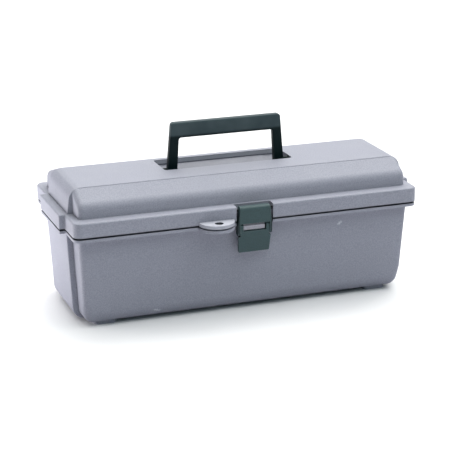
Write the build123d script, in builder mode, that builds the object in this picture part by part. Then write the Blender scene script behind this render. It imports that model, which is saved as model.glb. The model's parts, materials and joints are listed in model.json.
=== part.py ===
"""Moulded plastic tool box, 410 mm long: tub, hinged lid, folding handle, two-piece latch and tray.

Millimetres, +X along the box, +Y to the hinge side, +Z up. The origin is on the floor, under the
middle of the whole box, padlock tab and hinge included. Depths (y) in the names below are measured
from the middle plane of the box body, and lid heights (z) from the lower edge of the lid.
"""
import math
import os

from build123d import *

os.makedirs("parts", exist_ok=True)

# ---- driving dimensions: outline -------------------------------------------------------------
rim_half_length = 199.4  # lid rim at the corners
rim_half_depth = 85.0
end_step = 6.4  # how far the middle of each end stands out
panel_half_depth = 41.8  # half width of that middle part
panel_y = -3.8  # its middle, a little in front of the middle of the box
rim_corner = 9.0
step_round = 1.4

foot_height = 3.5
tub_height = 102.7
parting_gap = 2.0
parting_arch = 0.3  # the lower edge of the lid rises by this much towards both ends
rim_height = 16.4
dome_height = 28.3  # above the ledge of the lid
band_rise = 0.8  # raised centre band above the shoulders

wall = 3.0
skirt_wall = 2.6
draft = 3.1  # degrees, tub walls
dome_draft = 5.0  # degrees, dome front and back walls
band_draft = 7.0  # degrees, ends of the raised band

# ---- driving dimensions: tub -----------------------------------------------------------------
tub_half_length = 192.0  # at the flange, without the stepped panels
tub_half_depth = 75.4
flange_thick = 3.0
flange_inset = 0.5  # flange behind the lid rim
tongue_height = 6.0
tub_corner = 6.0
tub_low_corner = 16.0  # the upright corners widen near the bottom
tub_low_height = 24.0
tub_bottom_round = 15.0
foot_length = 25.0
foot_width = 20.0
foot_x = 160.5
foot_y = 50.0
foot_corner = 5.0
ledge_inner_x = 172.0  # inner end of the tray ledges

# ---- driving dimensions: dome ----------------------------------------------------------------
shoulder_half_length = 190.5
band_step = 6.0  # band ends beyond the shoulder ends
dome_half_depth = 70.5
bend_height = 14.8  # height of the front bend above the ledge
back_bend_height = 17.4
bend_round = 10.0
shoulder_end_round = 6.0
band_end_round = 14.0
band_side_round = 0.7
rim_edge_round = 2.0

# ---- driving dimensions: handle and its recess -----------------------------------------------
recess_half_length = 76.0
recess_front = -13.3
recess_back = 30.4
recess_depth = 6.5
recess_corner = 3.5
pad_half_length = 55.0  # raised pad on the floor of the recess
pad_gap = 2.8  # groove between the pad and the back wall
pad_height = 1.2
pad_round = 0.8
pivot_below_top = 3.3
trunnion_radius = 2.0
trunnion_bite = 2.6  # trunnion end inside the recess wall
handle_height = 50.2  # above the top of the lid
handle_half_top = 64.6
handle_half_bottom = 69.5
handle_thick = 8.0
arm_width = 11.6  # at the foot
grip_half_opening = 55.6
grip_height = 17.8
grip_corner = 4.0
grip_inner_corner = 3.0
arm_foot_radius = 2.9
bow_round = 1.8

# ---- driving dimensions: latch and padlock tab -----------------------------------------------
latch_x = 2.5
notch_x = 3.3
notch_half_width = 21.3
notch_back = -73.5
link_front = -88.5
link_pin_y = -81.5
link_pin_z = 11.5
link_top = 16.2
link_bottom = -2.6
link_half_top = 17.2
link_half_width = 19.5
link_arm = 2.5
link_arm_end = -16.0
link_plate = 3.5
link_back = -80.0
lever_pin_y = -84.6
lever_pin_z = -7.2
link_barrel_radius = 3.6
link_brow_round = 3.0  # front top edge of the link
link_crown_round = 1.0  # its back top edge
link_arm_round = 3.0
lever_top = -3.7
lever_bottom = -36.2
lever_play = 0.5
prong_width = 3.1
prong_set_back = 0.5  # lever behind the front of the link
prong_round = 2.4
catch_top = -4.4
catch_bottom = -10.6
catch_front = -85.0
catch_half_width = 12.2
catch_nose = 1.5  # chamfered top of the nose
catch_nose_depth = 2.0
hook_gap = 1.0
flap_half_wide = 18.7
flap_half_bottom = 17.6
flap_corner = 1.0
flap_wide_z = -17.6
flap_lean = 4.0  # the flap's lower edge stands this much nearer the tub
flap_thick = 3.2
flap_neck = 4.0  # the flap starts to lean over this height below the window
flap_step = 0.8
pin_radius = 1.5
pin_play = 0.05
tab_x = -41.5
tab_radius = 20.0
tab_thick = 3.2
lid_tab_extra = 0.4  # the tab of the lid is a little thicker
tab_hole_y = -94.5
tab_hole_radius = 4.8

# ---- driving dimensions: hinge ---------------------------------------------------------------
hinge_x = 110.0
hinge_set_back = 5.0  # pin axis behind the rim
knuckle_radius = 4.5
lid_knuckle_half = 9.0
base_knuckle_length = 8.0
knuckle_play = 0.4
hinge_pin_radius = 1.6
hinge_pin_chamfer = 0.3

# ---- driving dimensions: tray ----------------------------------------------------------------
tray_half_length = 183.0
tray_half_depth = 69.0
tray_height = 40.0
tray_wall = 2.0
tray_corner = 8.0
tray_draft = 4.0
tray_top = -4.0  # below the parting plane
tray_grip_height = 18.0  # above the rim of the tray
tray_grip_half_length = 38.0
tray_grip_bead = 3.0

# ---- derived levels --------------------------------------------------------------------------
hinge_reach = hinge_set_back + knuckle_radius
centre_y = (tab_radius - hinge_reach) / 2
tub_bottom = foot_height
flange_top = foot_height + tub_height
rim_z = flange_top + parting_gap
ledge_z = rim_z + rim_height
lid_top = ledge_z + dome_height
shoulder_top = lid_top - band_rise
band_half_length = shoulder_half_length + band_step
hinge_z = flange_top + parting_gap / 2
hinge_y = rim_half_depth + hinge_set_back
pivot_z = lid_top - pivot_below_top
draft_slope = math.tan(math.radians(draft))
dome_slope = math.tan(math.radians(dome_draft))
band_slope = math.tan(math.radians(band_draft))
past = 1.0  # cutting bodies run this far past the faces they cut


# ---- planes ----------------------------------------------------------------------------------
def level(height, x=0.0, y=0.0):
    """Horizontal plane at a height, on the middle of the box body."""
    return Plane(origin=(x, centre_y + y, height), x_dir=(1, 0, 0), z_dir=(0, 0, 1))


def across(x=0.0):
    """Upright plane at x; its own x is depth from the middle plane, its own y is height."""
    return Plane(origin=(x, centre_y, 0), x_dir=(0, 1, 0), z_dir=(1, 0, 0))


def along(y=0.0):
    """Upright plane at depth y; its own x is length, its own y is height, its normal faces front."""
    return Plane(origin=(0, centre_y + y, 0), x_dir=(1, 0, 0), z_dir=(0, -1, 0))


def edges_near(part, axis, value, tolerance=0.6, zero=0.0):
    """Edges whose middle lies at the given distance from zero along X or Y, on either side."""
    def offset(edge):
        middle = edge.center()
        place = {Axis.X: middle.X, Axis.Y: middle.Y - centre_y}[axis]
        return abs(abs(place - zero) - value)

    return part.edges().filter_by(lambda edge: offset(edge) < tolerance)


# ---- shared solids ---------------------------------------------------------------------------
def stepped_slab(bottom, top, inset):
    """Slab with the rim outline: a rounded rectangle whose ends stand out in the middle."""
    with BuildPart() as slab:
        with BuildSketch(level(bottom)) as outline:
            RectangleRounded(
                2 * (rim_half_length - inset), 2 * (rim_half_depth - inset), rim_corner - inset
            )
            with Locations((0, panel_y)):
                Rectangle(2 * (rim_half_length + end_step - inset), 2 * (panel_half_depth - inset))
            steps = outline.vertices().filter_by(
                lambda v: abs(abs(v.Y - panel_y) - panel_half_depth + inset) < step_round
            )
            fillet(steps, step_round - min(inset, 1) / 2)
        extrude(amount=top - bottom)
    return slab.part


def tub_block(inset, top):
    """Solid of the tub, or with an inset its hollow, up to a given height."""
    bottom = tub_bottom + inset
    levels = ((bottom, tub_low_corner), (bottom + tub_low_height, tub_corner), (top, tub_corner))
    with BuildPart() as block:
        for height, corner in levels:
            grow = (height - flange_top) * draft_slope - inset
            with BuildSketch(level(height)):
                RectangleRounded(
                    2 * (tub_half_length + grow), 2 * (tub_half_depth + grow), corner - inset
                )
        loft(ruled=True)
        fillet(block.edges().group_by(Axis.Z)[0], tub_bottom_round - inset)
    return block.part


def end_panels(inset, top):
    """The two stepped end panels as one drafted bar through the tub."""
    bottom = tub_bottom + inset
    low = tub_half_length + end_step - inset - (flange_top - bottom) * draft_slope
    high = tub_half_length + end_step - inset
    half_depth = panel_half_depth - inset
    with BuildPart() as bar:
        with BuildSketch(along(panel_y)) as profile:
            with BuildLine():
                Polyline((-low, bottom), (low, bottom), (high, top), (-high, top), close=True)
            make_face()
            fillet(profile.vertices().group_by(Axis.Y)[0], tub_bottom_round - inset)
        extrude(amount=half_depth, both=True)
        sides = edges_near(bar, Axis.Y, half_depth, zero=panel_y).filter_by(
            lambda e: abs(e.center().X) > low - tub_bottom_round
        )
        fillet(sides, step_round - min(inset, 1) / 2)
    return bar.part


def dome_shoulders(inset):
    """Domed body of the lid without its centre band, or with an inset its hollow."""
    floor = ledge_z - (past + wall if inset else 0.0)
    foot = dome_half_depth - inset
    front_bend = (bend_height * dome_slope - foot, ledge_z + bend_height - inset * dome_slope)
    back_bend = (foot - back_bend_height * dome_slope, ledge_z + back_bend_height - inset * dome_slope)
    top = shoulder_top - inset
    end = shoulder_half_length - inset
    with BuildPart() as block:
        with BuildSketch(across(-end)) as profile:
            with BuildLine():
                Polyline(
                    (-foot, floor), (foot, floor), back_bend, (panel_y + panel_half_depth, top),
                    (panel_y - panel_half_depth, top), front_bend, close=True,
                )
            make_face()
            bends = profile.vertices().filter_by(lambda v: floor + past < v.Y < top - past)
            fillet(bends, bend_round - inset)
        extrude(amount=2 * end)
        rims = edges_near(block, Axis.X, end).filter_by(lambda e: e.center().Z > floor + past)
        fillet(rims, shoulder_end_round - inset)
    return block.part


def dome_band(inset):
    """Raised centre band of the lid, which runs over the top and down both ends."""
    floor = ledge_z - (past + wall if inset else 0.0)
    top = lid_top - inset
    foot = band_half_length - inset
    shoulder = foot - dome_height * band_slope
    half_depth = panel_half_depth - inset
    with BuildPart() as band:
        with BuildSketch(along(panel_y)) as profile:
            with BuildLine():
                Polyline((-foot, floor), (foot, floor), (shoulder, top), (-shoulder, top), close=True)
            make_face()
            fillet(profile.vertices().group_by(Axis.Y)[-1], band_end_round - inset)
        extrude(amount=half_depth, both=True)
        sides = edges_near(band, Axis.Y, half_depth, zero=panel_y).filter_by(
            lambda e: e.center().Z > floor + past
        )
        fillet(sides, band_side_round)
    return band.part


def tab_sketch():
    """Half-round padlock tab with its hole, reaching a little way in behind the rim face."""
    with BuildSketch(Plane.XY) as tab:
        Circle(tab_radius)
        with Locations((0, tab_radius)):
            Rectangle(3 * tab_radius, 2 * tab_radius - 2 * past, mode=Mode.SUBTRACT)
        with Locations((0, tab_hole_y + rim_half_depth)):
            Circle(tab_hole_radius, mode=Mode.SUBTRACT)
    return tab.sketch


def knuckle(x_from, x_to, web_low, web_high, web_front):
    """Hinge knuckle on the pin axis with the web that carries it, bored for the pin."""
    with BuildPart() as piece:
        with BuildSketch(across(x_from)):
            with Locations((hinge_y, hinge_z)):
                Circle(knuckle_radius)
            with BuildLine():
                Polyline(
                    (web_front, web_low), (hinge_y, web_low), (hinge_y, web_high),
                    (web_front, web_high), close=True,
                )
            make_face()
            with Locations((hinge_y, hinge_z)):
                Circle(hinge_pin_radius + pin_play, mode=Mode.SUBTRACT)
        extrude(amount=x_to - x_from)
    return piece.part


hinge_centres = (-hinge_x, hinge_x)
flange_slab = stepped_slab(flange_top - flange_thick, flange_top, flange_inset)
tongue_top = flange_top + tongue_height
tub_outside = tub_block(0.0, flange_top)
panels_outside = end_panels(0.0, flange_top)
tub_inside = tub_block(wall, tongue_top + past)
panels_inside = end_panels(wall, tongue_top + past)
padlock_tab = tab_sketch()

# ---- base_shell: tub, flange, tongue, feet, tray ledges, hinge knuckles, lower padlock tab -----
base_knuckles = []
for hinge_centre in hinge_centres:
    for side in (-1, 1):
        inner = hinge_centre + side * (lid_knuckle_half + knuckle_play)
        outer = inner + side * base_knuckle_length
        base_knuckles.append(
            knuckle(
                min(inner, outer), max(inner, outer), hinge_z - knuckle_radius,
                flange_top, tub_half_depth - wall / 2,
            )
        )

with BuildPart() as base_shell:
    add(tub_outside)
    add(panels_outside)
    add(flange_slab)
    with BuildSketch(level(flange_top)):
        RectangleRounded(2 * tub_half_length, 2 * tub_half_depth, tub_corner)
        with Locations((0, panel_y)):
            Rectangle(2 * (tub_half_length + end_step), 2 * (panel_half_depth - wall - past / 2))
    extrude(amount=tongue_height)
    with BuildSketch(level(flange_top - tab_thick, tab_x, -rim_half_depth)):
        add(padlock_tab)
    extrude(amount=tab_thick)
    with BuildSketch(level(0)):
        with GridLocations(2 * foot_x, 2 * foot_y, 2, 2):
            RectangleRounded(foot_length, foot_width, foot_corner)
    extrude(amount=foot_height + wall - past / 2)
    for piece in base_knuckles:
        add(piece)
    add(tub_inside, mode=Mode.SUBTRACT)
    add(panels_inside, mode=Mode.SUBTRACT)
    # tray ledges at both ends
    ledge_level = flange_top + tray_top - tray_height
    ledge_outer_x = tub_half_length + end_step - wall / 2 - (flange_top - ledge_level) * draft_slope
    ledge_length = ledge_outer_x - ledge_inner_x
    with BuildSketch(level(ledge_level)):
        for side in (-1, 1):
            with Locations((side * (ledge_inner_x + ledge_length / 2), panel_y)):
                Rectangle(ledge_length, 2 * panel_half_depth - 4 * wall)
    extrude(amount=-wall)
    # the flange and the tongue stop short of the latch
    with BuildSketch(along(-rim_half_depth - past)):
        with Locations((notch_x, flange_top)):
            Rectangle(2 * notch_half_width, 2 * flange_thick + 2 * past)
    extrude(amount=past + tub_half_depth - rim_half_depth - 2 * past, mode=Mode.SUBTRACT)
    with BuildSketch(level(flange_top, notch_x, -tub_half_depth)):
        Rectangle(2 * notch_half_width + 4 * wall, 4 * wall)
    extrude(amount=tongue_height + past, mode=Mode.SUBTRACT)
base_shell.part.label = "base_shell"

# ---- latch_catch: ramped nose below the flange -----------------------------------------------
with BuildPart() as latch_catch:
    with BuildSketch(across(latch_x - catch_half_width)):
        with BuildLine():
            Polyline(
                (-tub_half_depth + wall / 2, rim_z + catch_top + catch_nose),
                (catch_front + catch_nose_depth, rim_z + catch_top),
                (catch_front, rim_z + catch_top - catch_nose),
                (catch_front, rim_z + catch_bottom),
                (-tub_half_depth + wall / 2, rim_z + catch_bottom),
                close=True,
            )
        make_face()
    extrude(amount=2 * catch_half_width)
    add(base_shell.part, mode=Mode.SUBTRACT)
latch_catch.part.label = "latch_catch"

# ---- lid_shell: rim, ledge, dome, handle recess, latch notch, knuckles, upper padlock tab ------
rim_outside = stepped_slab(rim_z, ledge_z, 0.0)
rim_inside = stepped_slab(rim_z - past, ledge_z - wall, skirt_wall)
shoulders_outside = dome_shoulders(0.0)
shoulders_inside = dome_shoulders(wall)
band_outside = dome_band(0.0)
band_inside = dome_band(wall)
lid_knuckles = [
    knuckle(
        centre - lid_knuckle_half, centre + lid_knuckle_half, rim_z,
        hinge_z + knuckle_radius, rim_half_depth - skirt_wall / 2,
    )
    for centre in hinge_centres
]
recess_middle = (recess_front + recess_back) / 2
recess_width = recess_back - recess_front
notch_depth = rim_half_depth + notch_back
pad_width = recess_width - pad_gap + wall / 2
with BuildPart() as pad:
    with BuildSketch(level(lid_top - recess_depth - past, 0, recess_back - pad_gap - pad_width / 2)):
        Rectangle(2 * pad_half_length, pad_width)
    extrude(amount=past + pad_height)
    fillet(pad.edges().group_by(Axis.Z)[-1].sort_by(Axis.Y)[1:], pad_round)
recess_pad = pad.part

with BuildPart() as lid_shell:
    add(rim_outside)
    fillet(lid_shell.edges().group_by(Axis.Z)[-1], rim_edge_round)
    # the lower edge of the rim arches up towards the ends
    rim_end = rim_half_length + end_step + past
    with BuildSketch(along()):
        with BuildLine():
            ThreePointArc((-rim_end, rim_z + parting_arch), (0, rim_z), (rim_end, rim_z + parting_arch))
            Polyline(
                (-rim_end, rim_z + parting_arch), (-rim_end, rim_z - past),
                (rim_end, rim_z - past), (rim_end, rim_z + parting_arch),
            )
        make_face()
    extrude(amount=rim_half_depth + past, both=True, mode=Mode.SUBTRACT)
    add(shoulders_outside)
    add(band_outside)
    with BuildSketch(level(rim_z, tab_x, -rim_half_depth)):
        add(padlock_tab)
    extrude(amount=tab_thick + lid_tab_extra)
    for piece in lid_knuckles:
        add(piece)
    add(rim_inside, mode=Mode.SUBTRACT)
    add(shoulders_inside, mode=Mode.SUBTRACT)
    add(band_inside, mode=Mode.SUBTRACT)
    # walls of the handle recess and of the latch notch
    with BuildSketch(level(lid_top - recess_depth - wall, 0, recess_middle)):
        Rectangle(2 * (recess_half_length + wall), recess_width + 2 * wall)
    extrude(amount=recess_depth + wall - past)
    with BuildSketch(level(rim_z, notch_x, notch_back - notch_depth / 2 + skirt_wall)):
        Rectangle(2 * (notch_half_width + skirt_wall), notch_depth)
    extrude(amount=rim_height - past)
    with BuildSketch(level(lid_top + past, 0, recess_middle)):
        RectangleRounded(2 * recess_half_length, recess_width, recess_corner)
    extrude(amount=-recess_depth - past, mode=Mode.SUBTRACT)
    add(recess_pad)
    with BuildSketch(level(rim_z - past, notch_x, notch_back - notch_depth)):
        Rectangle(2 * notch_half_width, 2 * notch_depth)
    extrude(amount=rim_height + 2 * past, mode=Mode.SUBTRACT)
    # holes for the handle's trunnions and for the latch pin
    with BuildSketch(across(-recess_half_length - 2 * wall)):
        with Locations((0, pivot_z)):
            Circle(trunnion_radius + pin_play)
    extrude(amount=2 * (recess_half_length + 2 * wall), mode=Mode.SUBTRACT)
    with BuildSketch(across(notch_x - notch_half_width - skirt_wall + past / 2)):
        with Locations((link_pin_y, rim_z + link_pin_z)):
            Circle(pin_radius)
    extrude(amount=2 * (notch_half_width + skirt_wall) - past, mode=Mode.SUBTRACT)
lid_shell.part.label = "lid_shell"

# ---- hinge pins ------------------------------------------------------------------------------
pin_half = lid_knuckle_half + knuckle_play + base_knuckle_length
hinge_pins = {}
for name, centre in zip(("hinge_pin_left", "hinge_pin_right"), hinge_centres):
    with BuildPart() as hinge_pin:
        with BuildSketch(across(centre - pin_half)):
            with Locations((hinge_y, hinge_z)):
                Circle(hinge_pin_radius)
        extrude(amount=2 * pin_half)
        chamfer(hinge_pin.edges().filter_by(GeomType.CIRCLE), hinge_pin_chamfer)
    hinge_pin.part.label = name
    hinge_pins[name] = hinge_pin.part

# ---- carry_handle: flared bow with its trunnions ---------------------------------------------
arm_foot_z = pivot_z - arm_foot_radius
handle_top = lid_top + handle_height
grip_bottom = handle_top - grip_height

with BuildPart() as carry_handle:
    with BuildSketch(along()) as bow:
        with BuildLine():
            Polyline(
                (-handle_half_bottom, arm_foot_z), (-handle_half_top, handle_top),
                (handle_half_top, handle_top), (handle_half_bottom, arm_foot_z),
                (handle_half_bottom - arm_width, arm_foot_z), (grip_half_opening, grip_bottom),
                (-grip_half_opening, grip_bottom), (arm_width - handle_half_bottom, arm_foot_z),
                close=True,
            )
        make_face()
        fillet(bow.vertices().group_by(Axis.Y)[-1], grip_corner)
        fillet(bow.vertices().group_by(Axis.Y)[1], grip_inner_corner)
    extrude(amount=handle_thick / 2, both=True)
    # rounded long edges of the bow
    bow_edges = edges_near(carry_handle, Axis.Y, handle_thick / 2, 0.05).filter_by(
        lambda e: e.center().Z > arm_foot_z + past
    )
    fillet(bow_edges, bow_round)
    # the arms thin down to rounded feet round the trunnions
    with BuildSketch(across(-handle_half_bottom - past)) as foot_waste:
        with Locations((0, pivot_z)):
            Rectangle(2 * handle_thick, 2 * arm_foot_radius + past, align=(Align.CENTER, Align.MAX))
            Circle(arm_foot_radius, mode=Mode.SUBTRACT)
    extrude(amount=2 * (handle_half_bottom + past), mode=Mode.SUBTRACT)
    taper_top = pivot_z + 2 * handle_thick
    for side in (-1, 1):
        with BuildSketch(across(-handle_half_bottom - past)):
            with BuildLine():
                Polyline(
                    (side * arm_foot_radius, pivot_z - past), (side * arm_foot_radius, pivot_z),
                    (side * handle_thick / 2, taper_top), (side * handle_thick, taper_top),
                    (side * handle_thick, pivot_z - past), close=True,
                )
            make_face()
        extrude(amount=2 * (handle_half_bottom + past), mode=Mode.SUBTRACT)
    for side in (-1, 1):
        with BuildSketch(across(side * (handle_half_bottom - arm_width / 2))):
            with Locations((0, pivot_z)):
                Circle(trunnion_radius)
        extrude(
            amount=side * (recess_half_length + trunnion_bite - handle_half_bottom + arm_width / 2)
        )
carry_handle.part.label = "carry_handle"

# ---- latch_link: plate with side arms, hung on the latch pin ---------------------------------
link_inner = link_half_width - link_arm
with BuildPart() as latch_link:
    with BuildSketch(along(link_back)) as front_view:
        with BuildLine():
            Polyline(
                (latch_x - link_half_top, rim_z + link_top),
                (latch_x + link_half_top, rim_z + link_top),
                (latch_x + link_half_width, rim_z + link_bottom),
                (latch_x + link_half_width, rim_z + link_arm_end),
                (latch_x + link_inner, rim_z + link_arm_end),
                (latch_x + link_inner, rim_z + link_bottom),
                (latch_x - link_inner, rim_z + link_bottom),
                (latch_x - link_inner, rim_z + link_arm_end),
                (latch_x - link_half_width, rim_z + link_arm_end),
                (latch_x - link_half_width, rim_z + link_bottom),
                close=True,
            )
        make_face()
    extrude(amount=link_back - link_front)
    # barrel behind the plate
    with BuildSketch(across(latch_x - link_half_top + past)):
        with Locations((link_pin_y, rim_z + link_pin_z)):
            Circle(link_barrel_radius)
    extrude(amount=2 * (link_half_top - past))
    # hollow behind the plate, between the arms and below the barrel
    hollow_top = rim_z + link_pin_z - link_barrel_radius
    hollow_height = hollow_top - rim_z - link_bottom + past
    with BuildSketch(along(link_back + past)):
        with Locations((latch_x, hollow_top - hollow_height / 2)):
            Rectangle(2 * (link_half_top - link_arm), hollow_height)
    extrude(amount=link_back - link_front - link_plate + past, mode=Mode.SUBTRACT)
    # rounded top edges, so that the link turns in its notch
    fillet(latch_link.edges().filter_by(Axis.X).group_by(Axis.Z)[-1].sort_by(Axis.Y)[0], link_brow_round)
    fillet(latch_link.edges().filter_by(Axis.X).group_by(Axis.Z)[-1].sort_by(Axis.Y)[-1], link_crown_round)
    fillet(latch_link.edges().filter_by(Axis.X).group_by(Axis.Z)[0], link_arm_round)
    with BuildSketch(across(latch_x - link_half_width - past)):
        with Locations((link_pin_y, rim_z + link_pin_z)):
            Circle(pin_radius + pin_play)
        with Locations((lever_pin_y, rim_z + lever_pin_z)):
            Circle(pin_radius)
    extrude(amount=2 * (link_half_width + past), mode=Mode.SUBTRACT)
latch_link.part.label = "latch_link"

# ---- latch_hinge_pin and lever_pins ----------------------------------------------------------
with BuildPart() as latch_hinge_pin:
    latch_pin_half = notch_half_width + skirt_wall - past / 2
    with BuildSketch(across(notch_x - latch_pin_half)):
        with Locations((link_pin_y, rim_z + link_pin_z)):
            Circle(pin_radius)
    extrude(amount=2 * latch_pin_half)
latch_hinge_pin.part.label = "latch_hinge_pin"

prong_outer = link_inner - lever_play
prong_inner = prong_outer - prong_width
with BuildPart() as lever_pins:
    for side in (-1, 1):
        with BuildSketch(across(latch_x + side * prong_inner)):
            with Locations((lever_pin_y, rim_z + lever_pin_z)):
                Circle(pin_radius)
        extrude(amount=side * (link_half_width - prong_inner))
lever_pins.part.label = "lever_pins"

# ---- latch_lever: flap with two prongs round the catch ----------------------------------------
window_bottom = catch_bottom - hook_gap
prong_front = link_front + prong_set_back
prong_back = prong_front + 2 * (lever_pin_y - prong_front)
with BuildPart() as latch_lever:
    with BuildSketch(along(prong_back)) as flap_view:
        with BuildLine():
            Polyline(
                (latch_x - prong_outer, rim_z + lever_top),
                (latch_x - prong_inner, rim_z + lever_top),
                (latch_x - prong_inner, rim_z + window_bottom),
                (latch_x + prong_inner, rim_z + window_bottom),
                (latch_x + prong_inner, rim_z + lever_top),
                (latch_x + prong_outer, rim_z + lever_top),
                (latch_x + prong_outer, rim_z + flap_wide_z),
                (latch_x + flap_half_wide, rim_z + flap_wide_z),
                (latch_x + flap_half_bottom, rim_z + lever_bottom),
                (latch_x - flap_half_bottom, rim_z + lever_bottom),
                (latch_x - flap_half_wide, rim_z + flap_wide_z),
                (latch_x - prong_outer, rim_z + flap_wide_z),
                close=True,
            )
        make_face()
        fillet(flap_view.vertices().group_by(Axis.Y)[0], flap_corner)
    extrude(amount=prong_back - prong_front)
    # side view: rounded prong tops above, a thin flap that leans towards the tub below
    with BuildSketch(across(latch_x - flap_half_wide - past)) as side_view:
        with BuildLine():
            Polyline(
                (prong_front, rim_z + lever_top),
                (prong_back, rim_z + lever_top),
                (prong_back, rim_z + window_bottom - flap_neck / 3),
                (prong_front + flap_thick + flap_step, rim_z + window_bottom - flap_neck),
                (prong_front + flap_thick + flap_lean, rim_z + lever_bottom),
                (prong_front + flap_lean, rim_z + lever_bottom),
                (prong_front + flap_step / 2, rim_z + window_bottom - flap_neck / 2),
                close=True,
            )
        make_face()
        fillet(side_view.vertices().group_by(Axis.Y)[-1], prong_round)
    extrude(amount=2 * (flap_half_wide + past), mode=Mode.INTERSECT)
    with BuildSketch(across(latch_x - flap_half_wide - past)):
        with Locations((lever_pin_y, rim_z + lever_pin_z)):
            Circle(pin_radius + pin_play)
    extrude(amount=2 * (flap_half_wide + past), mode=Mode.SUBTRACT)
latch_lever.part.label = "latch_lever"

# ---- tray: lift-out tray with compartments and a moulded grip --------------------------------
tray_rim_z = flange_top + tray_top
tray_floor = tray_rim_z - tray_height
tray_slope = math.tan(math.radians(tray_draft))


def tray_block(inset, top):
    """Drafted solid of the tray, or with an inset its hollow."""
    bottom = tray_floor + inset
    with BuildPart() as block:
        for height in (bottom, top):
            grow = (height - tray_rim_z) * tray_slope - inset
            with BuildSketch(level(height)):
                RectangleRounded(
                    2 * (tray_half_length + grow), 2 * (tray_half_depth + grow), tray_corner - inset
                )
        loft(ruled=True)
        fillet(block.edges().group_by(Axis.Z)[0], tray_corner / 2)
    return block.part


tray_outside = tray_block(0.0, tray_rim_z)
tray_inside = tray_block(tray_wall, tray_rim_z + past)
divider_height = tray_height - 2 * tray_wall
with BuildPart() as tray:
    add(tray_outside)
    add(tray_inside, mode=Mode.SUBTRACT)
    with BuildSketch(level(tray_floor + past)):
        Rectangle(2 * (tray_half_length - tray_corner), tray_wall)
    extrude(amount=divider_height)
    with BuildSketch(level(tray_floor + past)):
        with Locations((-tray_half_length / 2, 0), (tray_half_length / 2, 0)):
            Rectangle(tray_wall, 2 * (tray_half_depth - tray_corner / 2))
    extrude(amount=divider_height - tray_corner)
    # pinch grip on the long divider, with a bead along its top
    bead_z = tray_rim_z + tray_grip_height - tray_grip_bead
    with BuildSketch(along()):
        with Locations((0, (tray_rim_z + bead_z) / 2 - tray_wall)):
            Rectangle(2 * tray_grip_half_length, bead_z - tray_rim_z + 2 * tray_wall)
    extrude(amount=tray_wall / 2, both=True)
    with BuildSketch(across(-tray_grip_half_length)):
        with Locations((0, bead_z)):
            Circle(tray_grip_bead)
    extrude(amount=2 * tray_grip_half_length)
tray.part.label = "tray"

# ---- write one file for each piece -----------------------------------------------------------
pieces = [
    base_shell.part, latch_catch.part, lid_shell.part, carry_handle.part, latch_link.part,
    latch_hinge_pin.part, lever_pins.part, latch_lever.part, tray.part, *hinge_pins.values(),
]
for piece in pieces:
    export_step(piece, f"parts/{piece.label}.step")
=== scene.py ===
"""Looks of the moulded plastic tool box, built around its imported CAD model. Metres, +Z up, latch to -Y."""
import json
import math
from typing import NamedTuple

import bpy
from mathutils import Euler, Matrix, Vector


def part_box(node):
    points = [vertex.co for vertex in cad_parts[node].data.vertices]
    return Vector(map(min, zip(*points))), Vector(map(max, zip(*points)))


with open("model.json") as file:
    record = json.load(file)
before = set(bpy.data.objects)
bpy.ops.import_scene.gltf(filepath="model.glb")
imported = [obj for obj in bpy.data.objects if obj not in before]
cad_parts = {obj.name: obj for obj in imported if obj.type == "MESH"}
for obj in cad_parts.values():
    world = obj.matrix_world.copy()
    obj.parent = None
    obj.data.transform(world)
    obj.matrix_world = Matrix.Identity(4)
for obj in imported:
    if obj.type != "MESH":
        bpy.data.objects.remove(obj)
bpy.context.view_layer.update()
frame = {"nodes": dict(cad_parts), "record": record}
nodes = frame["nodes"]

# ---- camera, floor and room ------------------------------------------------------------------
CAMERA_AIM = Vector((-0.0284, -0.0713, 0.1032))
CAMERA_AZIMUTH = -19.9  # degrees, from straight in front towards the left end
CAMERA_ELEVATION = 17.8
CAMERA_ROLL = -0.15
CAMERA_DISTANCE = 1.775
CAMERA_LENS = 130.5  # mm, as is the sensor
SENSOR_WIDTH = 36.0

FLOOR_SIZE = 60.0
FLOOR_SEEN = (0.82, 0.82, 0.83, 1.0)
FLOOR_BOUNCE = (0.62, 0.62, 0.66, 1.0)  # what the floor throws back at the box
BACKGROUND = (1.0, 1.0, 1.0, 1.0)
AMBIENT = (0.86, 0.92, 1.0, 1.0)
AMBIENT_STRENGTH = 0.01
CARD_PLACE = (-0.42, 0.15, 0.055)  # low reflector beside the left end
CARD_SIZE = (0.30, 0.10)
CARD_POWER = 0.92

# ---- colours ---------------------------------------------------------------------------------
GREY = (0.285, 0.292, 0.345)
CATCH_GREY = (0.46, 0.44, 0.49)
# pale tone of real wear and scuffs, also used for painted light and painted highlights
WEAR_AND_HIGHLIGHT_GREY = (0.60, 0.61, 0.66)
# dark tone for painted shade and painted shadow
PAINTED_SHADE = (0.045, 0.047, 0.055)
# dark green of the handle, also the tone of painted shade on the link's arms
GREEN_BLACK = (0.002, 0.010, 0.011)
# lighter grip face: painted reflection of the floor
GRIP_SHEEN_GREEN = (0.030, 0.049, 0.057)
# pale tone of wear on the handle, also its painted highlights and painted reflection
HANDLE_WEAR_AND_SHEEN = (0.10, 0.13, 0.135)
LATCH_GREEN = (0.045, 0.078, 0.082)
WORN_LATCH = (0.20, 0.25, 0.25)
TRAY_GREEN = (0.030, 0.045, 0.047)
WORN_TRAY = (0.12, 0.14, 0.14)
STEEL = (0.56, 0.57, 0.58)
BLACKED_STEEL = (0.030, 0.031, 0.033)

# ---- recipe of the mouldings -----------------------------------------------------------------
CLOUD_SCALE = 16.0  # noise scales are per metre
CLOUD_SHARE = 0.6
FLOW_STRETCH = (30.0, 30.0, 7.0)  # flow lines run up the walls
FLOW_SHARE = 0.25
COARSE_SHARE = 0.30
SPECKLE_SHARE = 0.75
PATCH_NOISE = 45.0
RUB_NOISE = 60.0
RAGGED_NOISE = 900.0
SCUFF_STRENGTH = 0.7
EDGE_RADIUS = 0.0011
WARP_NOISE = 22.0
WARP_DEPTH = 0.0010

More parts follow.
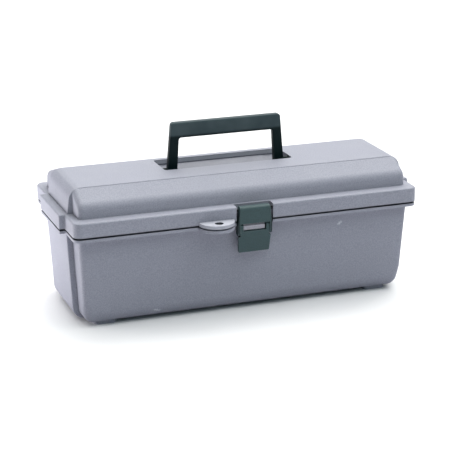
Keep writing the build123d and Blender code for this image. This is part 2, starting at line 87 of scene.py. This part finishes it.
# ---- sizes that the boxes of the nodes don't give --------------------------------------------
BODY_HALF_DEPTH = 0.085
TAB_REACH = 0.020  # padlock tab in front of the rim face
TONGUE_HEIGHT = 0.006  # tongue of the tub above its flange
PARTING_GAP = 0.002
WALL_SET_BACK = 0.0096  # tub wall behind the rim face, at the flange
WALL_SLOPE = 0.054  # lean of the tub wall per unit of height
RECESS_HALF_LENGTH = 0.0765
RECESS_FRONT = -0.0138  # from the middle plane of the body
RECESS_BACK = 0.0309
RECESS_DEPTH = 0.0065
PAD_HALF_LENGTH = 0.055  # raised pad on the recess floor
PAD_GAP = 0.0028  # between the pad and the back wall
PAD_COVER = 0.0016  # just over the height of the pad
GRIP_HEIGHT = 0.0178
GRIP_FADE = (0.0010, 0.0045)  # painted reflection starts above the lower edge of the grip, which stays dark as painted shade
ARM_SHADE_WIDTH = 0.0016  # outer part of the link's arms that takes painted shade
LIP_SHADOW_HEIGHT = 0.0006  # how far the painted shadow reaches up the lower edge of the lid

FADE = 0.0003  # a patch fades out over this much on each side of its faces
PAST = 0.001  # a patch reaches this far past the surface it covers

# ---- places, from the frame ------------------------------------------------------------------
lid_low, lid_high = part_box("lid_shell")
link_low, link_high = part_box("latch_link")
flange_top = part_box("base_shell")[1].z - TONGUE_HEIGHT
rim_bottom = flange_top + PARTING_GAP
rim_front = lid_low.y + TAB_REACH
rim_back = rim_front + 2 * BODY_HALF_DEPTH
body_middle = rim_front + BODY_HALF_DEPTH
recess_back = body_middle + RECESS_BACK
recess_floor = lid_high.z - RECESS_DEPTH
pad_back = recess_back - PAD_GAP
grip_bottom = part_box("carry_handle")[1].z - GRIP_HEIGHT
padlock = next(m for m in frame["record"]["mounts"] if m["name"] == "padlock_hole")
hole_x, hole_y, hole_z = padlock["pos_m"]
hole_radius = padlock["dims"]["r_mm"] / 1000 + FADE
tab_top = hole_z + padlock["dims"]["length_mm"] / 2000


class Patch(NamedTuple):
    """Box, placed as in the rest pose, in which a moulding takes another tone."""

    low: tuple
    high: tuple
    strength: float
    tone: tuple


class Scuff(NamedTuple):
    """Rubbed mark: its middle, its half sizes along the axes, and its turn about Y."""

    centre: tuple
    size: tuple
    tilt: float


# ---- node helpers ----------------------------------------------------------------------------
class Graph:
    """Small wrapper round a material's node tree."""

    def __init__(self, name):
        self.material = bpy.data.materials.new(name)
        self.material.use_nodes = True
        self.tree = self.material.node_tree
        self.shader = next(n for n in self.tree.nodes if n.type == "BSDF_PRINCIPLED")
        self.coords = self.add("ShaderNodeTexCoord").outputs["Object"]

    def add(self, kind, **settings):
        node = self.tree.nodes.new(kind)
        for key, value in settings.items():
            setattr(node, key, value)
        return node

    def link(self, source, target):
        self.tree.links.new(source, target)

    def fill(self, socket, value):
        """Links another socket to this one, or sets a plain value on it."""
        if isinstance(value, bpy.types.NodeSocket):
            self.link(value, socket)
        else:
            socket.default_value = value

    def math(self, operation, a, b):
        node = self.add("ShaderNodeMath", operation=operation)
        self.fill(node.inputs[0], a)
        self.fill(node.inputs[1], b)
        return node.outputs[0]

    def times(self, a, b):
        return self.math("MULTIPLY", a, b)

    def stretched(self, scale):
        """Object coordinates, scaled differently along each axis."""
        node = self.add("ShaderNodeMapping")
        self.link(self.coords, node.inputs["Vector"])
        node.inputs["Scale"].default_value = scale
        return node.outputs["Vector"]

    def height(self):
        """Height in the piece's own coordinates."""
        node = self.add("ShaderNodeSeparateXYZ")
        self.link(self.coords, node.inputs["Vector"])
        return node.outputs["Z"]

    def within(self, low, high):
        """Mask that is 1 inside a box and fades out across its faces."""
        middle = self.add("ShaderNodeVectorMath", operation="SUBTRACT")
        self.link(self.coords, middle.inputs[0])
        middle.inputs[1].default_value = [(a + b) / 2 for a, b in zip(low, high)]
        away = self.add("ShaderNodeVectorMath", operation="ABSOLUTE")
        self.link(middle.outputs["Vector"], away.inputs[0])
        axes = self.add("ShaderNodeSeparateXYZ")
        self.link(away.outputs["Vector"], axes.inputs["Vector"])
        mask = 1.0
        for axis, a, b in zip(axes.outputs, low, high):
            half = (b - a) / 2
            mask = self.times(self.remap(axis, half + FADE, half - FADE), mask)
        return mask

    def noise(self, scale, detail=2.0, rough=0.5, coords=None):
        node = self.add("ShaderNodeTexNoise")
        self.link(coords or self.coords, node.inputs["Vector"])
        node.inputs["Scale"].default_value = scale
        node.inputs["Detail"].default_value = detail
        node.inputs["Roughness"].default_value = rough
        return node.outputs["Fac"]

    def cells(self, scale):
        """Distance to the nearest of many scattered points."""
        node = self.add("ShaderNodeTexVoronoi", feature="SMOOTH_F1")
        self.link(self.coords, node.inputs["Vector"])
        node.inputs["Scale"].default_value = scale
        return node.outputs["Distance"]

    def remap(self, value, low, high, to_low=0.0, to_high=1.0):
        node = self.add("ShaderNodeMapRange", interpolation_type="SMOOTHSTEP")
        for socket, number in zip(node.inputs, (value, low, high, to_low, to_high)):
            self.fill(socket, number)
        return node.outputs["Result"]

    def mix(self, factor, a, b):
        node = self.add("ShaderNodeMix", data_type="RGBA")
        sockets = [s for s in node.inputs if s.type == "RGBA"]
        self.fill(node.inputs["Factor"], factor)
        for socket, colour in zip(sockets, (a, b)):
            self.fill(socket, (*colour, 1.0) if isinstance(colour, tuple) else colour)
        return next(s for s in node.outputs if s.type == "RGBA")

    def edges(self, radius):
        """Mask that is 1 along sharp edges and 0 on the faces between them."""
        bevel = self.add("ShaderNodeBevel", samples=4)
        bevel.inputs["Radius"].default_value = radius
        facing = self.add("ShaderNodeVectorMath", operation="DOT_PRODUCT")
        self.link(bevel.outputs["Normal"], facing.inputs[0])
        self.link(self.add("ShaderNodeNewGeometry").outputs["Normal"], facing.inputs[1])
        return self.remap(facing.outputs["Value"], 0.995, 0.90)

    def bump(self, height, depth, strength, below=None):
        node = self.add("ShaderNodeBump")
        node.inputs["Strength"].default_value = strength
        node.inputs["Distance"].default_value = depth
        self.link(height, node.inputs["Height"])
        if below is not None:
            self.link(below, node.inputs["Normal"])
        return node.outputs["Normal"]

    def rubbed_mark(self, scuff):
        """Mask of one scuff: a ragged ellipse at a place on the surface."""
        place = self.add("ShaderNodeMapping", vector_type="TEXTURE")
        self.link(self.coords, place.inputs["Vector"])
        place.inputs["Location"].default_value = scuff.centre
        place.inputs["Rotation"].default_value = (0.0, scuff.tilt, 0.0)
        place.inputs["Scale"].default_value = scuff.size
        length = self.add("ShaderNodeVectorMath", operation="LENGTH")
        self.link(place.outputs["Vector"], length.inputs[0])
        ragged = self.remap(self.noise(RAGGED_NOISE), 0.3, 0.7, -0.4, 0.4)
        return self.remap(self.math("ADD", length.outputs["Value"], ragged), 1.0, 0.5)


def shade(colour, factor):
    return tuple(min(c * factor, 1.0) for c in colour)


# ---- materials -------------------------------------------------------------------------------
def mottled(g, colour, grain, clouds, speckle):
    """Colour of a moulding: soft clouds and flow lines under a fine speckle."""
    dark = shade(colour, 0.90)
    light = shade(colour, 1.07)
    flow = g.remap(g.noise(1.0, 3.0, 0.6, g.stretched(FLOW_STRETCH)), 0.35, 0.65)
    cloudy = g.mix(g.times(clouds, CLOUD_SHARE), dark, light)
    cloudy = g.mix(FLOW_SHARE, cloudy, g.mix(flow, dark, light))
    speckled = g.mix(g.remap(speckle, 0.38, 0.62), shade(colour, 0.84), shade(colour, 1.13))
    coarse = g.remap(g.noise(0.55 / grain, 3.0, 0.7), 0.38, 0.62)
    speckled = g.mix(g.times(coarse, COARSE_SHARE), speckled, shade(colour, 1.10))
    return g.mix(SPECKLE_SHARE, cloudy, speckled)


def patched(g, base, patches):
    """Each patch's tone, laid unevenly over the base."""
    for patch in patches:
        uneven = g.remap(g.noise(PATCH_NOISE, 3.0, 0.6), 0.3, 0.7, 0.75, 1.0)
        inside = g.times(g.within(patch.low, patch.high), uneven)
        base = g.mix(g.times(inside, patch.strength), base, patch.tone)
    return base


def worn_down(g, base, worn, edge_wear, scuffs):
    """Paler rubbed edges and scuffs over the base."""
    uneven = g.remap(g.noise(RUB_NOISE, 4.0, 0.6), 0.35, 0.7, 0.25, 1.0)
    rubbed = g.times(g.edges(EDGE_RADIUS), uneven)
    base = g.mix(g.times(rubbed, edge_wear), base, worn)
    for scuff in scuffs:
        base = g.mix(g.times(g.rubbed_mark(scuff), SCUFF_STRENGTH), base, worn)
    return base


def eroded(g, grain, pit_depth):
    """Surface of a moulding: slightly warped, with a pitted grain."""
    warp = g.bump(g.noise(WARP_NOISE, 2.0, 0.5), WARP_DEPTH, 0.35)
    pits = g.bump(g.cells(0.62 / grain), pit_depth, 0.8, warp)
    return g.bump(g.noise(2.2 / grain, 2.0, 0.6), pit_depth * 0.6, 0.8, pits)


def moulded_plastic(name, colour, worn, roughness, grain, pit_depth, edge_wear,
                    shine=0.30, grip_sheen_colour=None, patches=(), scuffs=()):
    """Injection-moulded plastic: mottled colour, eroded grain, paler rubbed edges, with an optional painted
    reflection on a grip and patches of painted light and shade.
    """
    g = Graph(name)
    clouds = g.remap(g.noise(CLOUD_SCALE, 3.0, 0.55), 0.32, 0.68)
    speckle = g.noise(1.0 / grain, 2.0, 0.6)
    base = mottled(g, colour, grain, clouds, speckle)
    # painted reflection on the grip face, with painted shade along its lower edge
    if grip_sheen_colour is not None:
        grip_sheen = g.remap(g.height(), *(grip_bottom + fade for fade in GRIP_FADE))
        base = g.mix(grip_sheen, base, g.mix(g.times(clouds, 0.5), grip_sheen_colour, worn))
    base = patched(g, base, patches)
    base = worn_down(g, base, worn, edge_wear, scuffs)
    g.link(base, g.shader.inputs["Base Color"])
    cloud_gloss = g.remap(clouds, 0.0, 1.0, roughness - 0.04, roughness + 0.05)
    speckle_gloss = g.remap(speckle, 0.3, 0.7, -0.05, 0.05)
    g.link(g.math("ADD", cloud_gloss, speckle_gloss), g.shader.inputs["Roughness"])
    g.shader.inputs["Specular IOR Level"].default_value = shine
    g.link(eroded(g, grain, pit_depth), g.shader.inputs["Normal"])
    return g.material


def drawn_steel(name, colour):
    """Drawn steel wire: fine lines along X, slightly uneven polish."""
    g = Graph(name)
    lines = g.noise(1.0, 4.0, 0.7, g.stretched((40.0, 2600.0, 2600.0)))
    stain = g.remap(g.noise(260.0, 3.0, 0.6), 0.4, 0.7)
    base = g.mix(g.remap(lines, 0.3, 0.7), shade(colour, 0.82), colour)
    base = g.mix(g.times(stain, 0.35), base, shade(colour, 0.5))
    g.link(base, g.shader.inputs["Base Color"])
    g.shader.inputs["Metallic"].default_value = 1.0
    g.link(g.remap(lines, 0.3, 0.7, 0.28, 0.46), g.shader.inputs["Roughness"])
    g.link(g.bump(lines, 0.00003, 0.6), g.shader.inputs["Normal"])
    return g.material


# ---- camera ----------------------------------------------------------------------------------
def add_object(name, data):
    item = bpy.data.objects.new(name, data)
    bpy.context.scene.collection.objects.link(item)
    return item


def place_camera():
    data = bpy.data.cameras.new("camera")
    data.lens = CAMERA_LENS
    data.sensor_width = SENSOR_WIDTH
    data.clip_end = 2 * FLOOR_SIZE
    camera = add_object("camera", data)
    tilt = math.radians(90.0 - CAMERA_ELEVATION)
    turned = Euler((tilt, 0.0, math.radians(CAMERA_AZIMUTH))).to_matrix()
    camera.location = CAMERA_AIM + turned @ Vector((0.0, 0.0, CAMERA_DISTANCE))
    roll = Euler((0.0, 0.0, math.radians(CAMERA_ROLL))).to_matrix()
    camera.rotation_euler = (turned @ roll).to_euler()
    bpy.context.scene.camera = camera


# ---- light and floor -------------------------------------------------------------------------
def sun(name, azimuth, elevation, strength, spread, colour):
    """Far soft light. Azimuth counts from straight in front, positive towards the right end."""
    data = bpy.data.lights.new(name, "SUN")
    data.energy = strength
    data.angle = math.radians(spread)
    data.color = colour
    lamp = add_object(name, data)
    lamp.rotation_euler = (math.radians(90.0 - elevation), 0.0, math.radians(azimuth))


def reflector():
    """Small card that lights the left end from low down."""
    data = bpy.data.lights.new("reflector", "AREA")
    data.shape = "RECTANGLE"
    data.size = CARD_SIZE[0]
    data.size_y = CARD_SIZE[1]
    data.energy = CARD_POWER
    data.color = (1.0, 0.98, 0.985)
    card = add_object("reflector", data)
    card.location = CARD_PLACE
    card.rotation_euler = (math.radians(90.0), 0.0, math.radians(-90.0))


def lights():
    sun("overhead", azimuth=40.0, elevation=85.0, strength=2.80, spread=90.0, colour=(1.0, 1.0, 0.98))
    sun("back_right", azimuth=150.0, elevation=50.0, strength=2.13, spread=60.0, colour=(1.0, 0.99, 0.97))
    sun("right", azimuth=88.0, elevation=60.0, strength=0.75, spread=55.0, colour=(1.0, 0.98, 1.0))
    sun("back", azimuth=180.0, elevation=35.0, strength=0.32, spread=50.0, colour=(0.9, 0.97, 1.0))
    sun("front", azimuth=20.0, elevation=40.0, strength=0.52, spread=70.0, colour=(0.72, 0.97, 1.0))
    reflector()


def room():
    """White background that lights the box only a trace."""
    world = bpy.data.worlds.new("studio")
    world.use_nodes = True
    bpy.context.scene.world = world
    tree = world.node_tree
    tree.nodes.clear()
    path = tree.nodes.new("ShaderNodeLightPath")
    seen = tree.nodes.new("ShaderNodeBackground")
    seen.inputs["Color"].default_value = BACKGROUND
    seen.inputs["Strength"].default_value = 1.0
    ambient = tree.nodes.new("ShaderNodeBackground")
    ambient.inputs["Color"].default_value = AMBIENT
    ambient.inputs["Strength"].default_value = AMBIENT_STRENGTH
    blend = tree.nodes.new("ShaderNodeMixShader")
    surface = tree.nodes.new("ShaderNodeOutputWorld")
    tree.links.new(path.outputs["Is Camera Ray"], blend.inputs[0])
    tree.links.new(ambient.outputs[0], blend.inputs[1])
    tree.links.new(seen.outputs[0], blend.inputs[2])
    tree.links.new(blend.outputs[0], surface.inputs["Surface"])
    bpy.context.scene.view_settings.view_transform = "Standard"


def floor_material():
    """Matt floor that throws back a little less light than it shows."""
    material = bpy.data.materials.new("floor")
    material.use_nodes = True
    tree = material.node_tree
    shader = tree.nodes["Principled BSDF"]
    shader.inputs["Roughness"].default_value = 0.9
    shader.inputs["Specular IOR Level"].default_value = 0.1
    path = tree.nodes.new("ShaderNodeLightPath")
    tone = tree.nodes.new("ShaderNodeMix")
    tone.data_type = "RGBA"
    bounce, seen = [s for s in tone.inputs if s.type == "RGBA"]
    bounce.default_value = FLOOR_BOUNCE
    seen.default_value = FLOOR_SEEN
    colour = next(s for s in tone.outputs if s.type == "RGBA")
    tree.links.new(path.outputs["Is Camera Ray"], tone.inputs["Factor"])
    tree.links.new(colour, shader.inputs["Base Color"])
    return material


def lay_floor():
    half = FLOOR_SIZE / 2
    mesh = bpy.data.meshes.new("floor")
    corners = [(-half, -half, 0.0), (half, -half, 0.0), (half, half, 0.0), (-half, half, 0.0)]
    mesh.from_pydata(corners, [], [(0, 1, 2, 3)])
    mesh.materials.append(floor_material())
    add_object("floor", mesh)


# ---- patches of painted light and shade, and scuffs ------------------------------------------
def hole_painted_shade():
    """Inside of the padlock hole, painted dark as shade."""
    low = (hole_x - hole_radius, hole_y - hole_radius, flange_top - 4 * PAST)
    high = (hole_x + hole_radius, hole_y + hole_radius, tab_top - 2 * FADE)
    return Patch(low, high, 1.0, PAINTED_SHADE)


def recess_painted_shade():
    """Floor of the recess with its pad, painted darker as shade."""
    low = (-RECESS_HALF_LENGTH, body_middle + RECESS_FRONT, recess_floor - PAST)
    high = (RECESS_HALF_LENGTH, recess_back, recess_floor + PAD_COVER)
    return Patch(low, high, 0.50, PAINTED_SHADE)


def recess_wall_painted_light():
    """Back wall of the recess, painted lighter: painted light over its shade."""
    low = (-RECESS_HALF_LENGTH, recess_back - 2 * FADE, recess_floor + PAD_COVER + FADE)
    high = (RECESS_HALF_LENGTH, recess_back + 3 * PAST, lid_high.z - 2 * FADE)
    return Patch(low, high, 0.70, WEAR_AND_HIGHLIGHT_GREY)


def pad_edge_painted_highlight():
    """Back edge of the pad in the recess, with a painted highlight."""
    low = (-PAD_HALF_LENGTH, pad_back - 4 * FADE, recess_floor + 0.0004)
    high = (PAD_HALF_LENGTH, pad_back + 2 * FADE, recess_floor + 0.0018)
    return Patch(low, high, 0.8, WEAR_AND_HIGHLIGHT_GREY)


def lip_painted_shadow():
    """Lowest edge of the lid, all round, painted dark as the shadow of the parting gap."""
    low = (-lid_high.x - PAST, rim_front - PAST, rim_bottom - PAST)
    high = (lid_high.x + PAST, rim_back + PAST, rim_bottom + LIP_SHADOW_HEIGHT)
    return Patch(low, high, 0.9, PAINTED_SHADE)


def tab_painted_light():
    """Padlock tab of the lid, painted lighter as painted light."""
    low = (hole_x - TAB_REACH, lid_low.y, flange_top)
    high = (hole_x + TAB_REACH, rim_front - 0.0005, tab_top + PAST)
    return Patch(low, high, 0.45, WEAR_AND_HIGHLIGHT_GREY)


def gap_painted_shadow():
    """Top of the flange and the tongue behind it, which show in the parting gap, painted black as its
    shadow.
    """
    low = (-lid_high.x, rim_front + PAST, flange_top - 0.0001)
    high = (lid_high.x, rim_back, flange_top + 0.0085)
    return Patch(low, high, 1.0, PAINTED_SHADE)


def arms_painted_shade():
    """Outer sides of the two arms of the latch link, painted dark as shade."""
    past = Vector((PAST, PAST, PAST))
    low = link_low - past
    high = link_high + past
    left = Patch(tuple(low), (link_low.x + ARM_SHADE_WIDTH, high.y, high.z), 0.85, GREEN_BLACK)
    right = Patch((link_high.x - ARM_SHADE_WIDTH, low.y, low.z), tuple(high), 0.85, GREEN_BLACK)
    return left, right


def wall_scuff(x, height, half_length, half_height, tilt):
    """Scuff on the front wall of the tub, which leans back towards the floor."""
    y = rim_front + WALL_SET_BACK + (flange_top - height) * WALL_SLOPE
    return Scuff((x, y, height), (half_length, 0.02, half_height), tilt)


# ---- dressing --------------------------------------------------------------------------------
def give(material, *names):
    """Puts a material in every slot of the named CAD nodes."""
    for name in names:
        for slot in nodes[name].material_slots:
            slot.material = material


def dress_lid():
    patches = (recess_painted_shade(), recess_wall_painted_light(), pad_edge_painted_highlight(), lip_painted_shadow(), tab_painted_light(), hole_painted_shade())
    lid_grey = moulded_plastic("lid_grey", GREY, WEAR_AND_HIGHLIGHT_GREY, roughness=0.56, grain=0.0011,
                               pit_depth=0.00010, edge_wear=0.30, patches=patches)
    give(lid_grey, "lid_shell")


def dress_tub():
    scuffs = (
        wall_scuff(x=0.109, height=0.090, half_length=0.0032, half_height=0.0017, tilt=-0.5),
        wall_scuff(x=-0.105, height=0.012, half_length=0.0050, half_height=0.0014, tilt=0.25),
    )
    tub_grey = moulded_plastic("tub_grey", GREY, WEAR_AND_HIGHLIGHT_GREY, roughness=0.56, grain=0.0011,
                               pit_depth=0.00010, edge_wear=0.30,
                               patches=(gap_painted_shadow(), hole_painted_shade()), scuffs=scuffs)
    catch_grey = moulded_plastic("catch_grey", CATCH_GREY, WEAR_AND_HIGHLIGHT_GREY, roughness=0.50, grain=0.0010,
                                 pit_depth=0.00006, edge_wear=0.4)
    give(tub_grey, "base_shell")
    give(catch_grey, "latch_catch")


def dress_handle():
    # heavy edge wear here is partly real wear and partly a painted highlight along the handle's edges
    handle_green = moulded_plastic("handle_green", GREEN_BLACK, HANDLE_WEAR_AND_SHEEN, roughness=0.42,
                                   grain=0.0009, pit_depth=0.00005, edge_wear=0.60, shine=0.12,
                                   grip_sheen_colour=GRIP_SHEEN_GREEN)
    give(handle_green, "carry_handle")


def dress_latch():
    recipe = {"roughness": 0.46, "grain": 0.0009, "pit_depth": 0.00005, "edge_wear": 0.4, "shine": 0.25}
    link_green = moulded_plastic("link_green", LATCH_GREEN, WORN_LATCH, patches=arms_painted_shade(), **recipe)
    latch_green = moulded_plastic("latch_green", LATCH_GREEN, WORN_LATCH, **recipe)
    give(link_green, "latch_link")
    give(latch_green, "latch_lever")


def dress_tray():
    tray_green = moulded_plastic("tray_green", TRAY_GREEN, WORN_TRAY, roughness=0.44, grain=0.0010,
                                 pit_depth=0.00007, edge_wear=0.4)
    give(tray_green, "tray")


def dress_pins():
    give(drawn_steel("blacked_steel", BLACKED_STEEL), "latch_hinge_pin", "lever_pins")
    give(drawn_steel("pin_steel", STEEL), "hinge_pin_left", "hinge_pin_right")


place_camera()
lights()
room()
lay_floor()
dress_lid()
dress_tub()
dress_handle()
dress_latch()
dress_tray()
dress_pins()
